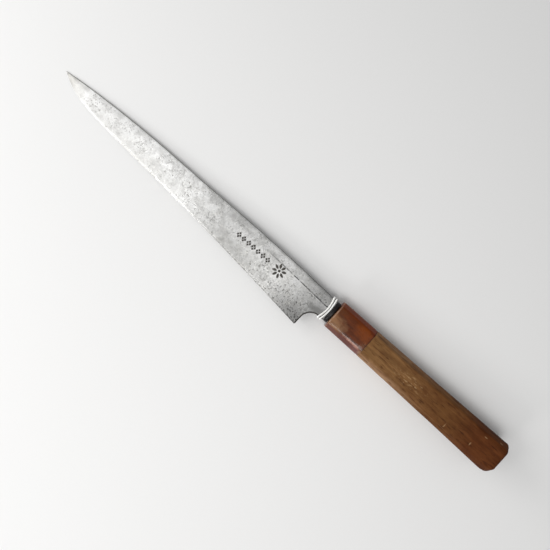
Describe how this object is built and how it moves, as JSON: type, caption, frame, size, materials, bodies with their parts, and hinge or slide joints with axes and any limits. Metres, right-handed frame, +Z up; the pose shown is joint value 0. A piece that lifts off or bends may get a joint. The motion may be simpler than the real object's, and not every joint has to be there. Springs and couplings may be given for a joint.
{
  "type": "boning knife",
  "caption": "Long narrow slicing knife: straight steel blade on a hidden tang in an octagonal wooden handle with a horn ferrule and collar, and a cord tied round the neck.",
  "frame": {"origin": "middle of the underside of the whole knife's bounding box, with the knife lying on its side", "axes": "+X along the knife towards the blade's tip, +Y towards the cutting edge, +Z up, square to the blade's flat"},
  "size_m": [0.3536, 0.032, 0.0188],
  "materials": {
    "blade_steel": "worn, pitted carbon steel with a grey patina",
    "black_horn": "polished black horn",
    "amber_horn": "glossy red-brown horn",
    "handle_wood": "handled, darkened wood with open grain",
    "core_wood": "plain sawn wood",
    "pitch": "set pine pitch",
    "white_cord": "twisted white cotton"
  },
  "bodies": {
    "root": {"blade": "blade_steel", "neck_collar": "black_horn", "ferrule": "amber_horn", "handle_body": "handle_wood", "core_dowel": "core_wood", "tang_wedge_upper": "core_wood", "tang_wedge_lower": "core_wood", "mouth_seal": "pitch", "neck_cord": "white_cord"}
  },
  "joints": []
}
